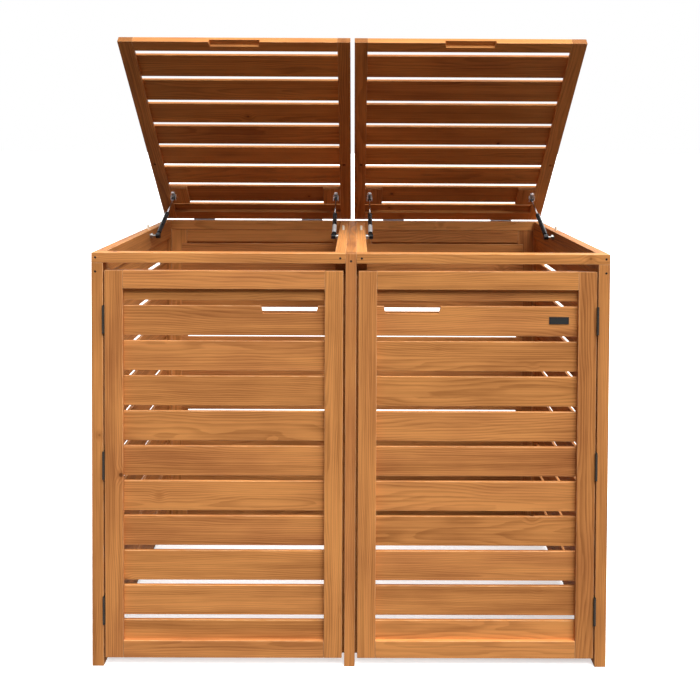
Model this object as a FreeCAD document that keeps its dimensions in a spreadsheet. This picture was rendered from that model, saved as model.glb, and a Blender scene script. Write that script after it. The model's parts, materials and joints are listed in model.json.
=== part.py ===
# Slatted timber store for two wheeled bins, with two front doors and two lids on gas struts.
#
# X runs along the front, Y from front to rear and Z up. The middle of the store is at X = 0 and
# Y = 0, and its posts stand on Z = 0. The doors are closed and the lids are held open.
import FreeCAD, Part
import os
import re

SIZES = {
    # the whole frame
    "store_width": 1440,
    "store_depth": 860,
    "frame_height": 1162.5,
    "ground_clearance": 24,
    # posts and top rails
    "corner_post_width": 32,
    "centre_post_width": 30,
    "post_depth": 34,
    "front_rail_height": 28,
    "rear_rail_height": 33,
    "side_rail_width": 30,
    "side_rail_height": 65,
    "batten_width": 30,
    # framed panels: the slats lie in a rabbet at the back of the frame
    "panel_thickness": 22,
    "slat_thickness": 10,
    "slat_lap": 20,
    "slat_height": 83.3,
    "panel_rail_height": 51,
    "wall_stile_width": 58,
    "side_wall_recess": 1,
    "rear_wall_recess": 10,
    "wall_slat_gap": 14.9,
    "wall_top_gap": 15,
    "wall_slats_drop": 148.4,
    "rear_panel_rail_height": 46.5,
    "rear_slat_play": 6,
    # doors
    "door_top_gap": 21,
    "door_stile_width": 51,
    "door_bottom_rail_height": 48.5,
    "door_side_gap": 4,
    "door_centre_gap": 6.5,
    "door_slat_gap": 15.5,
    "door_top_slat_drop": 84.5,
    "door_notch_middle": 171.5,
    "door_notch_width": 163,
    "door_notch_taper": 7,
    "door_notch_depth": 21,
    "door_stop_width": 12,
    "door_stop_gap": 0.5,
    "plate_side_gap": 24,
    "plate_width": 55,
    "plate_height": 20,
    "plate_thickness": 1.5,
    "plate_drop": 28,
    # lids, measured from their rear underside edge when closed
    "lid_length": 866,
    "lid_thickness": 22.3,
    "lid_lift": 1,
    "lid_open_angle": 44.53,
    "lid_centre_gap": 6.5,
    "lid_outer_stile_width": 45,
    "lid_inner_stile_width": 40,
    "lid_front_rail_width": 37,
    "lid_rear_rail_width": 43,
    "lid_slat_width": 86.9,
    "lid_slat_gap": 17,
    "first_lid_slat": 91.4,
    "lid_notch_width": 158,
    "lid_notch_taper": 4,
    "lid_notch_depth": 18,
    "lid_notch_height": 11,
    "strut_block_width": 63,
    # door hinges
    "door_hinge_height": 78,
    "door_hinge_inset": 97,
    "knuckle_radius": 3.5,
    "knuckle_gap": 0.4,
    "knuckle_face_gap": 0.1,
    "hinge_pin_radius": 1.7,
    "hinge_pin_play": 0.05,
    "leaf_thickness": 1.5,
    "door_leaf_depth": 20,
    # lid hinges
    "lid_hinge_width": 80,
    "lid_hinge_inset": 110,
    "lid_hinge_face_gap": 0.5,
    "lid_leaf_height": 18,
    # gas struts
    "strut_outer_reach": 25,
    "strut_inner_reach": 17.5,
    "strut_low_place": 90,
    "strut_low_drop": 18.5,
    "strut_top_setback": 134,
    "strut_top_drop": 10,
    "strut_tube_radius": 7.5,
    "strut_tube_length": 150,
    "strut_bore_radius": 6.1,
    "strut_bore_start": 22,
    "strut_gland_length": 4,
    "strut_rod_radius": 3,
    "strut_rod_length": 128,
    "strut_rod_play": 0.05,
    "piston_radius": 6,
    "piston_length": 6,
    "socket_radius": 9,
    "socket_shank_radius": 5.5,
    "socket_mouth_radius": 3.8,
    "socket_open_side": 5,
    "ball_radius": 5,
    "ball_play": 0.2,
    "stud_neck_radius": 3,
    "stud_flange_radius": 8,
    "stud_flange_thickness": 9,
    "stud_thread_length": 20,
    "rod_end_radius": 6,
    "rod_end_width": 10,
    "rod_end_shank_radius": 4.5,
    "rod_end_shank_length": 14,
    "rod_end_grip": 8,
    "strut_pin_radius": 2.5,
    "strut_pin_length": 22,
    # strut brackets under the lids
    "bracket_width": 20,
    "bracket_plate": 2,
    "cheek_rear": 5,
    "cheek_front": 11,
    "cheek_lip": 6,
    "slot_play": 0.3,
    "slot_flare": 2.9,
    "bracket_eye_reach": 21,
    "bracket_eye_radius": 7,
    "bracket_neck_width": 10,
    "bracket_screw_radius": 3.8,
    "bracket_screw_height": 2.2,
    # frame screws
    "screw_head_radius": 3.4,
    "screw_head_height": 3,
    "screw_shank_radius": 2.2,
    "screw_length": 60,
    "screw_sink": 2,
    "corner_screw_inset": 11,
    "centre_screw_inset": 30,
    "rail_screw_drop": 13.5,
    "post_screw_drop": 52.5,
    "beam_screw_drop": 21.5,
    # locating pins between the frame and the lids
    "locating_pin_radius": 4,
    "locating_pin_height": 15,
    "locating_pin_root": 12,
    "locating_pin_place": 120,
    "locating_pin_play": 1.3,
    "outer_pin_inset": 15,
    "inner_pin_place": 31,
    # door catches
    "magnet_width": 18,
    "magnet_height": 10,
    "magnet_lift": 1.5,
    "catch_plate_thickness": 1.5,
    "catch_gap": 0.3,
}

doc = FreeCAD.newDocument("bin_store")
sheet = doc.addObject("Spreadsheet::Sheet", "Sizes")
for row, (alias, number) in enumerate(SIZES.items(), start=1):
    sheet.set(f"A{row}", alias)
    sheet.set(f"B{row}", str(number))
    sheet.setAlias(f"B{row}", alias)
doc.recompute()


# ---- expressions ---------------------------------------------------------------------------

def cells(text):
    """The text as an expression in which each size's name refers to its cell."""
    return re.sub(r"[a-z]\w+", lambda word: f"Sizes.{word[0]}" if word[0] in SIZES else word[0], text)


def value(text):
    """What an expression comes to now."""
    return float(sheet.evalExpression(cells(text)))


def bind(piece, **properties):
    """Ties properties of a piece to expressions. A double underscore stands for a dot."""
    for name, text in properties.items():
        piece.setExpression(name.replace("__", "."), cells(text))


def across(side, inner, outer):
    """The X planes of a piece on one side (-1 left, 1 right), given outwards from the middle."""
    return (inner, outer) if side > 0 else (f"-({outer})", f"-({inner})")


def at_side(side, place):
    """One X place on one side."""
    return place if side > 0 else f"-({place})"


# ---- solids --------------------------------------------------------------------------------

# Which way a cylinder, drawn along Z, is turned to lie along an axis.
CYLINDER_TURNS = {
    "x": FreeCAD.Rotation(FreeCAD.Vector(0, 1, 0), 90),
    "y": FreeCAD.Rotation(FreeCAD.Vector(1, 0, 0), -90),
    "z": FreeCAD.Rotation(),
}


def board(name, x, y, z):
    """A squared piece between two planes on each axis."""
    piece = doc.addObject("Part::Box", name)
    bind(piece, Length=f"({x[1]}) - ({x[0]})", Placement__Base__x=x[0])
    bind(piece, Width=f"({y[1]}) - ({y[0]})", Placement__Base__y=y[0])
    bind(piece, Height=f"({z[1]}) - ({z[0]})", Placement__Base__z=z[0])
    return piece


def cylinder(name, axis, radius, length, start):
    """A cylinder that runs from its start towards the positive end of an axis."""
    piece = doc.addObject("Part::Cylinder", name)
    piece.Placement = FreeCAD.Placement(FreeCAD.Vector(), CYLINDER_TURNS[axis])
    bind(piece, Radius=radius, Height=length)
    bind(piece, Placement__Base__x=start[0], Placement__Base__y=start[1], Placement__Base__z=start[2])
    return piece


def ball(name, radius, centre):
    """A ball with its poles along X, in line with the stud or mouth that meets it."""
    piece = doc.addObject("Part::Sphere", name)
    piece.Placement = FreeCAD.Placement(FreeCAD.Vector(), CYLINDER_TURNS["x"])
    bind(piece, Radius=radius)
    bind(piece, Placement__Base__x=centre[0], Placement__Base__y=centre[1], Placement__Base__z=centre[2])
    return piece


def joined(name, pieces):
    """Pieces made as one solid."""
    whole = doc.addObject("Part::MultiFuse", name)
    whole.Shapes = pieces
    return whole


def grouped(name, pieces):
    """Separate solids held as one shape."""
    group = doc.addObject("Part::Compound", name)
    group.Links = pieces
    return group


def cut(name, base, *tools):
    """The base with the tools cut out of it."""
    result = doc.addObject("Part::Cut", name)
    result.Base = base
    result.Tool = tools[0] if len(tools) == 1 else grouped(f"{name}_tools", list(tools))
    return result


def taper(name, near, far, near_z, far_z, thickness):
    """A prism along X that narrows from its near Y plane to its far one.

    near and far are (Y plane, low X, high X); near_z and far_z are their low Z planes, and
    thickness is (at near, at far)."""
    piece = doc.addObject("Part::Wedge", name)
    bind(piece, Ymin=near[0], Xmin=near[1], Xmax=near[2], Zmin=near_z, Zmax=f"({near_z}) + ({thickness[0]})")
    bind(piece, Ymax=far[0], X2min=far[1], X2max=far[2], Z2min=far_z, Z2max=f"({far_z}) + ({thickness[1]})")
    return piece


nodes = []


def node(label, pieces):
    """A named sub-part of one or more separate solids."""
    part = grouped(f"node_{label}", pieces)
    part.Label = label
    nodes.append(part)
    return part


# ---- planes that the pieces share ----------------------------------------------------------

FRONT = "-store_depth / 2"
REAR = "store_depth / 2"
POST_BACK = f"{FRONT} + post_depth"
REAR_POST_FRONT = f"{REAR} - post_depth"
OUTSIDE = "store_width / 2"
POST_INSIDE = f"{OUTSIDE} - corner_post_width"
CENTRE_EDGE = "centre_post_width / 2"
TOP = "frame_height"
FRONT_RAIL_BOTTOM = f"{TOP} - front_rail_height"
REAR_RAIL_BOTTOM = f"{TOP} - rear_rail_height"
SIDE_RAIL_BOTTOM = f"{TOP} - side_rail_height"
SIDE_RAIL_INSIDE = f"{OUTSIDE} - side_rail_width"
BATTEN_EDGE = f"{CENTRE_EDGE} + batten_width"
BOTTOM = "ground_clearance"
GROUND = "0"
SIDES = {"left": -1, "right": 1}


# ---- frame screws --------------------------------------------------------------------------

def frame_screw(name, x, z, face, inwards):
    """A countersunk wood screw in the front (inwards = 1) or rear face, and its bore."""
    def along(start, length):
        low = f"{face} + {start}" if inwards > 0 else f"{face} - ({start}) - ({length})"
        return low, length
    shank_low, shank_length = along("screw_sink", "screw_length")
    head_low, head_length = along("screw_sink", "screw_head_height")
    mouth_low, mouth_length = along(GROUND, "screw_sink + screw_head_height")
    shank = cylinder(f"{name}_shank", "y", "screw_shank_radius", shank_length, (x, shank_low, z))
    head = cylinder(f"{name}_head", "y", "screw_head_radius", head_length, (x, head_low, z))
    mouth = cylinder(f"{name}_mouth", "y", "screw_head_radius", mouth_length, (x, mouth_low, z))
    return joined(name, [shank, head]), joined(f"{name}_bore", [shank, mouth])


RAIL_SCREW_HEIGHT = f"{TOP} - rail_screw_drop"
POST_SCREW_HEIGHT = f"{TOP} - post_screw_drop"
BEAM_SCREW_HEIGHT = f"{TOP} - beam_screw_drop"
CORNER_SCREW = f"{OUTSIDE} - corner_screw_inset"

screws = []
bores = []
for end, (face, inwards) in {"front": (FRONT, 1), "rear": (REAR, -1)}.items():
    spots = [("beam", GROUND, BEAM_SCREW_HEIGHT)]
    for side_name, side in SIDES.items():
        spots.append((f"{side_name}_rail", at_side(side, CORNER_SCREW), RAIL_SCREW_HEIGHT))
        spots.append((f"{side_name}_post", at_side(side, CORNER_SCREW), POST_SCREW_HEIGHT))
        spots.append((f"{side_name}_batten", at_side(side, "centre_screw_inset"), RAIL_SCREW_HEIGHT))
    for spot, x, z in spots:
        screw, bore = frame_screw(f"screw_{end}_{spot}", x, z, face, inwards)
        screws.append(screw)
        bores.append(bore)
screw_bores = grouped("screw_bores", bores)
node("frame_screws", screws)


# ---- locating pins and strut studs, which the rails are bored for ---------------------------

STRUT_OUTER = f"{SIDE_RAIL_INSIDE} - strut_outer_reach"
STRUT_LOW_HEIGHT = f"{TOP} - strut_low_drop"
STRUT_INNER = f"{BATTEN_EDGE} + strut_inner_reach"


def locating_pin(name, x):
    return cylinder(
        name, "z", "locating_pin_radius", "locating_pin_height + locating_pin_root",
        (x, "locating_pin_place", f"{TOP} - locating_pin_root"),
    )


def ball_stud(name, ball_x, wood_x, towards):
    """A ball on a flanged stud that is screwed into the wood, towards +X or -X."""
    def reach(x, length):
        return x if towards > 0 else f"{x} - ({length})"
    neck = f"abs({wood_x} - ({ball_x}))"
    low = "strut_low_place", STRUT_LOW_HEIGHT
    flange_x = f"{wood_x} - stud_flange_thickness" if towards > 0 else wood_x
    shank_length = f"{neck} + stud_thread_length"
    shank_start = (reach(ball_x, shank_length), *low)
    shank = cylinder(f"{name}_shank", "x", "stud_neck_radius", shank_length, shank_start)
    flange = cylinder(f"{name}_flange", "x", "stud_flange_radius", "stud_flange_thickness", (flange_x, *low))
    return joined(name, [ball(f"{name}_ball", "ball_radius", (ball_x, *low)), shank, flange])


# Each strut: its name, its side, its X place, the wood it is screwed to and which way that lies.
STRUTS = []
for side_name, side in SIDES.items():
    rail_face = at_side(side, SIDE_RAIL_INSIDE)
    batten_face = at_side(side, BATTEN_EDGE)
    STRUTS.append((f"{side_name}_outer", side, at_side(side, STRUT_OUTER), rail_face, side))
    STRUTS.append((f"{side_name}_inner", side, at_side(side, STRUT_INNER), batten_face, -side))

OUTER_PIN = f"{OUTSIDE} - outer_pin_inset"
pins = {}
for side_name, side in SIDES.items():
    pins[f"{side_name}_outer"] = locating_pin(f"pin_{side_name}_outer", at_side(side, OUTER_PIN))
    pins[f"{side_name}_inner"] = locating_pin(f"pin_{side_name}_inner", at_side(side, "inner_pin_place"))
studs = {
    name: ball_stud(f"stud_{name}", ball_x, wood_x, towards)
    for name, side, ball_x, wood_x, towards in STRUTS
}
node("locating_pins", list(pins.values()))
node("strut_ball_studs", list(studs.values()))


# ---- posts, rails, beam and battens --------------------------------------------------------

def bored(label, x, y, z, *more):
    """A squared frame piece with the screw bores, and any other bores, cut into it."""
    node(label, [cut(f"{label}_bored", board(f"{label}_blank", x, y, z), screw_bores, *more)])


for side_name, side in SIDES.items():
    post_x = across(side, POST_INSIDE, OUTSIDE)
    bored(f"corner_post_front_{side_name}", post_x, (FRONT, POST_BACK), (GROUND, FRONT_RAIL_BOTTOM))
    bored(f"corner_post_rear_{side_name}", post_x, (REAR_POST_FRONT, REAR), (GROUND, REAR_RAIL_BOTTOM))
    rail_x = across(side, CENTRE_EDGE, OUTSIDE)
    bored(f"front_rail_{side_name}", rail_x, (FRONT, POST_BACK), (FRONT_RAIL_BOTTOM, TOP))
    bored(
        f"side_rail_{side_name}", across(side, SIDE_RAIL_INSIDE, OUTSIDE), (POST_BACK, REAR_POST_FRONT),
        (SIDE_RAIL_BOTTOM, TOP), pins[f"{side_name}_outer"], studs[f"{side_name}_outer"],
    )
    bored(
        f"centre_batten_{side_name}", across(side, CENTRE_EDGE, BATTEN_EDGE), (POST_BACK, REAR_POST_FRONT),
        (SIDE_RAIL_BOTTOM, TOP), pins[f"{side_name}_inner"], studs[f"{side_name}_inner"],
    )

CENTRE_X = (f"-{CENTRE_EDGE}", CENTRE_EDGE)
bored("centre_post_front", CENTRE_X, (FRONT, POST_BACK), (GROUND, TOP))
bored("centre_post_rear", CENTRE_X, (REAR_POST_FRONT, REAR), (GROUND, REAR_RAIL_BOTTOM))
bored("centre_beam", CENTRE_X, (POST_BACK, REAR_POST_FRONT), (SIDE_RAIL_BOTTOM, TOP))
bored("rear_rail", (f"-{OUTSIDE}", OUTSIDE), (REAR_POST_FRONT, REAR), (REAR_RAIL_BOTTOM, TOP))


# ---- framed, slatted panels ----------------------------------------------------------------

class Panel:
    """A frame of stiles and rails with slats in a rabbet along its inner face.

    run is its extent along "x" or "y", frame and rabbet are the thickness planes of the frame
    and of the slats, and opening is the height between its rails."""

    def __init__(self, name, along, run, frame, rabbet, stile, height, opening):
        self.name = name
        self.along = along
        self.run = run
        self.frame = frame
        self.rabbet = rabbet
        self.height = height
        self.opening = opening
        self.clear = (f"{run[0]} + {stile}", f"{run[1]} - {stile}")
        self.lapped = (f"{self.clear[0]} - slat_lap", f"{self.clear[1]} + slat_lap")

    def plank(self, name, run, thickness, height):
        """A board that runs along the panel."""
        x, y = (run, thickness) if self.along == "x" else (thickness, run)
        return board(f"{self.name}_{name}", x, y, height)

    def stiles(self, rabbet_height):
        """Both stiles, with the rabbet that takes the ends of the slats."""
        groove = self.plank("slat_groove", self.lapped, self.rabbet, rabbet_height)
        made = []
        for end, run in {"low": (self.run[0], self.clear[0]), "high": (self.clear[1], self.run[1])}.items():
            blank = self.plank(f"{end}_stile_blank", run, self.frame, self.height)
            made.append(cut(f"{self.name}_{end}_stile", blank, groove))
        return made

    def rail(self, name, height, rabbet_height):
        """A rail between the stiles, rabbeted where slats lie against it."""
        blank = self.plank(f"{name}_blank", self.clear, self.frame, height)
        groove = self.plank(f"{name}_groove", self.clear, self.rabbet, rabbet_height)
        return cut(f"{self.name}_{name}", blank, groove)

    def slat(self, number, low, high):
        return self.plank(f"slat_{number}", self.lapped, self.rabbet, (low, high))


def slat_rows(top, gap, opening_bottom):
    """The heights of equal slats, from the highest down, and the last one cut to fit the rabbet."""
    pitch = f"(slat_height + {gap})"
    rows = []
    while not rows or value(rows[-1][0]) > value(f"{opening_bottom} + {gap}"):
        high = f"{top} - {len(rows)} * {pitch}"
        rows.append((f"{high} - slat_height", high))
    rows[-1] = (f"{opening_bottom} - slat_lap", rows[-1][1])
    return rows


WALL_OPENING_BOTTOM = f"{BOTTOM} + panel_rail_height"
WALL_LOW_RABBET = f"{WALL_OPENING_BOTTOM} - slat_lap"
WALL_SLATS_TOP = f"{TOP} - wall_slats_drop"
UPPER_SLAT_BOTTOM = f"{WALL_SLATS_TOP} + wall_top_gap"


def wall(label, along, run, frame, rabbet, top, upper_slat_top):
    """A wall panel with its bottom rail, its full slats and one upper slat cut to height."""
    opening = (WALL_OPENING_BOTTOM, top)
    panel = Panel(label, along, run, frame, rabbet, "wall_stile_width", (BOTTOM, top), opening)
    pieces = panel.stiles((WALL_LOW_RABBET, upper_slat_top))
    low_rabbet = (WALL_LOW_RABBET, WALL_OPENING_BOTTOM)
    pieces.append(panel.rail("bottom_rail", (BOTTOM, WALL_OPENING_BOTTOM), low_rabbet))
    rows = [(UPPER_SLAT_BOTTOM, upper_slat_top)]
    rows += slat_rows(WALL_SLATS_TOP, "wall_slat_gap", WALL_OPENING_BOTTOM)
    slats = [panel.slat(number, low, high) for number, (low, high) in enumerate(rows)]
    return panel, pieces, slats


WALL_OUTSIDE = f"{OUTSIDE} - side_wall_recess"
WALL_INSIDE = f"{WALL_OUTSIDE} - panel_thickness"
for side_name, side in SIDES.items():
    label = f"side_wall_{side_name}"
    _, pieces, slats = wall(
        label, "y", (POST_BACK, REAR_POST_FRONT), across(side, WALL_INSIDE, WALL_OUTSIDE),
        across(side, WALL_INSIDE, f"{WALL_INSIDE} + slat_thickness"), SIDE_RAIL_BOTTOM, SIDE_RAIL_BOTTOM,
    )
    node(f"{label}_frame", pieces)
    node(f"{label}_slats", slats)

REAR_OUTSIDE = f"{REAR} - rear_wall_recess"
REAR_INSIDE = f"{REAR_OUTSIDE} - panel_thickness"
REAR_RABBET_TOP = f"{REAR_RAIL_BOTTOM} - rear_panel_rail_height"
REAR_PANEL_RAIL_BOTTOM = f"{REAR_RABBET_TOP} - slat_lap"
rear_frames = []
rear_slats = []
for side_name, side in SIDES.items():
    panel, pieces, slats = wall(
        f"rear_wall_{side_name}", "x", across(side, CENTRE_EDGE, POST_INSIDE), (REAR_INSIDE, REAR_OUTSIDE),
        (REAR_INSIDE, f"{REAR_INSIDE} + slat_thickness"), REAR_RAIL_BOTTOM,
        f"{REAR_RABBET_TOP} - rear_slat_play",
    )
    rear_frames += pieces
    rear_frames.append(panel.rail(
        "top_rail", (REAR_PANEL_RAIL_BOTTOM, REAR_RAIL_BOTTOM), (REAR_PANEL_RAIL_BOTTOM, REAR_RABBET_TOP),
    ))
    rear_slats += slats
node("rear_wall_frames", rear_frames)
node("rear_wall_slats", rear_slats)


# ---- doors ---------------------------------------------------------------------------------

DOOR_BACK = f"{FRONT} + panel_thickness"
DOOR_SLAT_FRONT = f"{DOOR_BACK} - slat_thickness"
DOOR_INNER = f"{CENTRE_EDGE} + door_centre_gap"
DOOR_OUTER = f"{POST_INSIDE} - door_side_gap"
DOOR_TOP = f"{FRONT_RAIL_BOTTOM} - door_top_gap"
DOOR_OPENING = (f"{BOTTOM} + door_bottom_rail_height", f"{DOOR_TOP} - panel_rail_height")
DOOR_RABBET = (f"{DOOR_OPENING[0]} - slat_lap", f"{DOOR_OPENING[1]} + slat_lap")
DOOR_TOP_SLAT_BOTTOM = f"{DOOR_TOP} - door_top_slat_drop"
DOOR_SLATS_TOP = f"{DOOR_TOP_SLAT_BOTTOM} - door_slat_gap"
PLATE_TOP = f"{DOOR_SLATS_TOP} - plate_drop"


def door_notch(name, side):
    """The finger notch in the top edge of a slat, narrower at the bottom."""
    half = "door_notch_width / 2"
    low, high = across(side, f"door_notch_middle - {half}", f"door_notch_middle + {half}")
    # Drawn with its depth along Y and turned up, so that its Z plane is minus the slat's Y plane.
    notch = taper(
        name,
        (f"{DOOR_SLATS_TOP} - door_notch_depth", f"{low} + door_notch_taper", f"{high} - door_notch_taper"),
        (f"{DOOR_SLATS_TOP} + door_slat_gap / 2", low, high),
        f"-({DOOR_BACK}) - slat_lap", f"-({DOOR_BACK}) - slat_lap", ("3 * slat_lap", "3 * slat_lap"),
    )
    notch.Placement = FreeCAD.Placement(FreeCAD.Vector(), FreeCAD.Rotation(FreeCAD.Vector(1, 0, 0), 90))
    return notch


for side_name, side in SIDES.items():
    label = f"door_{side_name}"
    panel = Panel(
        label, "x", across(side, DOOR_INNER, DOOR_OUTER), (FRONT, DOOR_BACK), (DOOR_SLAT_FRONT, DOOR_BACK),
        "door_stile_width", (BOTTOM, DOOR_TOP), DOOR_OPENING,
    )
    node(f"{label}_stiles", panel.stiles(DOOR_RABBET))
    node(f"{label}_rails", [
        panel.rail("bottom_rail", (BOTTOM, DOOR_OPENING[0]), (DOOR_RABBET[0], DOOR_OPENING[0])),
        panel.rail("top_rail", (DOOR_OPENING[1], DOOR_TOP), (DOOR_OPENING[1], DOOR_RABBET[1])),
    ])
    rows = [(DOOR_TOP_SLAT_BOTTOM, DOOR_RABBET[1])]
    rows += slat_rows(DOOR_SLATS_TOP, "door_slat_gap", DOOR_OPENING[0])
    slats = [panel.slat(number, low, high) for number, (low, high) in enumerate(rows)]
    slats[1] = cut(f"{label}_notched_slat", slats[1], door_notch(f"{label}_notch", side))
    node(f"{label}_slats", slats)

node("door_stops", [
    board(
        f"door_stop_{side_name}", across(side, CENTRE_EDGE, f"{CENTRE_EDGE} + door_stop_width"),
        (f"{DOOR_BACK} + door_stop_gap", POST_BACK), (BOTTOM, SIDE_RAIL_BOTTOM),
    )
    for side_name, side in SIDES.items()
])

PLATE_OUTER = f"{DOOR_OUTER} - door_stile_width - plate_side_gap"
node("blank_plate", [board(
    "blank_plate_body",
    (f"{PLATE_OUTER} - plate_width", PLATE_OUTER),
    (f"{DOOR_SLAT_FRONT} - plate_thickness", DOOR_SLAT_FRONT),
    (f"{PLATE_TOP} - plate_height", PLATE_TOP),
)])


# ---- door hinges ---------------------------------------------------------------------------

DOOR_AXIS_X = f"{POST_INSIDE} - door_side_gap / 2"
DOOR_AXIS_Y = f"{FRONT} - knuckle_radius - knuckle_face_gap"
PLATE_START = f"{DOOR_AXIS_Y} + knuckle_radius + 2 * knuckle_gap"
PIN_HOLE = "hinge_pin_radius + hinge_pin_play"
KNUCKLES = 3


def knuckle(name, axis, start, length):
    """One tube of a hinge's barrel."""
    barrel = cylinder(f"{name}_barrel", axis, "knuckle_radius", length, start)
    hole = cylinder(f"{name}_hole", axis, PIN_HOLE, length, start)
    return barrel, hole


def door_leaf(name, side, low, plate_x, own):
    """The leaf of a door hinge that has the knuckles numbered in own."""
    share = f"(door_hinge_height / {KNUCKLES})"
    solids = [board(f"{name}_plate", plate_x, (PLATE_START, f"{PLATE_START} + door_leaf_depth"),
                    (low, f"{low} + door_hinge_height"))]
    holes = []
    for number in own:
        start = f"{low} + {number} * {share} + knuckle_gap / 2"
        length = f"{share} - knuckle_gap"
        foot = (at_side(side, DOOR_AXIS_X), DOOR_AXIS_Y, start)
        barrel, hole = knuckle(f"{name}_{number}", "z", foot, length)
        height = (start, f"{start} + {length}")
        neck = board(f"{name}_{number}_neck", plate_x, (DOOR_AXIS_Y, PLATE_START), height)
        solids += [barrel, neck]
        holes.append(hole)
    return cut(name, joined(f"{name}_whole", solids), *holes)


def hinge_pin(name, axis, start, length):
    return cylinder(name, axis, "hinge_pin_radius", length, start)


HINGE_LOWS = {
    "low": f"{BOTTOM} + door_hinge_inset",
    "middle": f"({BOTTOM} + {DOOR_TOP} - door_hinge_height) / 2",
    "high": f"{DOOR_TOP} - door_hinge_inset - door_hinge_height",
}
post_hinges = []
for side_name, side in SIDES.items():
    door_leaves = []
    for place, low in HINGE_LOWS.items():
        name = f"hinge_{side_name}_{place}"
        post_x = across(side, f"{POST_INSIDE} - leaf_thickness", POST_INSIDE)
        door_x = across(side, DOOR_OUTER, f"{DOOR_OUTER} + leaf_thickness")
        post_hinges.append(door_leaf(f"{name}_post_leaf", side, low, post_x, (0, 2)))
        pin_start = (at_side(side, DOOR_AXIS_X), DOOR_AXIS_Y, low)
        post_hinges.append(hinge_pin(f"{name}_pin", "z", pin_start, "door_hinge_height"))
        door_leaves.append(door_leaf(f"{name}_door_leaf", side, low, door_x, (1,)))
    node(f"door_{side_name}_hinge_leaves", door_leaves)
node("post_hinge_leaves", post_hinges)


# ---- door catches --------------------------------------------------------------------------

MAGNET_LOW = f"{SIDE_RAIL_BOTTOM} + magnet_lift"
MAGNET_HIGH = f"{MAGNET_LOW} + magnet_height"
CATCH_PLATE_BACK = f"{DOOR_BACK} + catch_plate_thickness"
magnets = []
for side_name, side in SIDES.items():
    catch_x = across(side, f"{BATTEN_EDGE} - magnet_width", BATTEN_EDGE)
    magnets.append(board(
        f"magnet_{side_name}", catch_x, (f"{CATCH_PLATE_BACK} + catch_gap", POST_BACK),
        (MAGNET_LOW, MAGNET_HIGH),
    ))
    node(f"door_{side_name}_catch_plate", [board(
        f"catch_plate_{side_name}", catch_x, (DOOR_BACK, CATCH_PLATE_BACK), (MAGNET_LOW, MAGNET_HIGH),
    )])
node("catch_magnets", magnets)


# ---- lids, drawn closed about their hinge axis and then turned open ------------------------

LID_AXIS_Y = f"{REAR} + knuckle_radius + lid_hinge_face_gap"
LID_AXIS_Z = f"{TOP} + lid_lift / 2"
LID_REAR = "-(knuckle_radius + lid_hinge_face_gap)"
LID_UNDER = "lid_lift / 2"
LID_FRAME_TOP = f"{LID_UNDER} + lid_thickness"
LID_SLAT_UNDER = f"{LID_FRAME_TOP} - slat_thickness"
LID_INNER = "lid_centre_gap"
LID_INNER_CLEAR = f"{LID_INNER} + lid_inner_stile_width"
LID_OUTER_CLEAR = f"{OUTSIDE} - lid_outer_stile_width"


def setback(near, far):
    """The Y planes of a lid piece, given as distances forwards from the lid's rear edge."""
    return f"{LID_REAR} - ({far})", f"{LID_REAR} - ({near})"


def lid_node(label, pieces):
    """A sub-part of a lid, hung on the hinge axis and turned to the open lid."""
    part = node(label, pieces)
    part.Placement = FreeCAD.Placement(FreeCAD.Vector(), FreeCAD.Rotation(FreeCAD.Vector(1, 0, 0), -1))
    bind(part, Placement__Base__y=LID_AXIS_Y, Placement__Base__z=LID_AXIS_Z)
    bind(part, Placement__Rotation__Angle="-lid_open_angle")


def lid_notch(name, side):
    """The finger notch under the front edge of a lid."""
    middle = f"({LID_INNER} + {OUTSIDE}) / 2"
    half = "lid_notch_width / 2"
    low, high = across(side, f"{middle} - {half}", f"{middle} + {half}")
    beyond = "lid_notch_taper"
    deep = f"{LID_REAR} - lid_length + lid_notch_depth"
    return taper(
        name,
        (f"{LID_REAR} - lid_length - {beyond}", low, high),
        (deep, f"{low} + lid_notch_taper", f"{high} - lid_notch_taper"),
        f"{LID_UNDER} - {beyond}", f"{LID_UNDER} - {beyond}",
        (f"lid_notch_height + {beyond}", f"lid_notch_height + {beyond}"),
    )


SOCKET_RADIUS = "locating_pin_radius + locating_pin_play"
SOCKET_SETBACK = f"{LID_REAR} + {LID_AXIS_Y} - locating_pin_place"


def pin_socket(name, x):
    """The blind hole in a lid for a locating pin."""
    return cylinder(
        name, "z", SOCKET_RADIUS, "locating_pin_height + locating_pin_play",
        (x, f"locating_pin_place - ({LID_AXIS_Y})", LID_UNDER),
    )


def socketed(slat, near, far, socket):
    """The slat with the locating pin's socket cut into it where the pin meets it."""
    clear = value(f"{near} - ({SOCKET_SETBACK})") > value(SOCKET_RADIUS)
    clear = clear or value(f"{SOCKET_SETBACK} - ({far})") > value(SOCKET_RADIUS)
    return slat if clear else cut(f"{slat.Name}_socketed", slat, socket)


def lid_slats(label, side, socket):
    """The slats of a lid, the rearmost one cut to fit the rear rail's rabbet."""
    pitch = "(lid_slat_width + lid_slat_gap)"
    last = "lid_length - lid_front_rail_width - lid_slat_width"
    rows = [("lid_rear_rail_width - slat_lap", "first_lid_slat - lid_slat_gap")]
    while value(f"first_lid_slat + {len(rows) - 1} * {pitch}") <= value(last):
        near = f"first_lid_slat + {len(rows) - 1} * {pitch}"
        rows.append((near, f"{near} + lid_slat_width"))
    x = across(side, f"{LID_INNER_CLEAR} - slat_lap", f"{LID_OUTER_CLEAR} + slat_lap")
    z = (LID_SLAT_UNDER, LID_FRAME_TOP)
    slats = [board(f"{label}_slat_{number}", x, setback(*row), z) for number, row in enumerate(rows)]
    return [socketed(slat, *row, socket) for slat, row in zip(slats, rows)]


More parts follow.
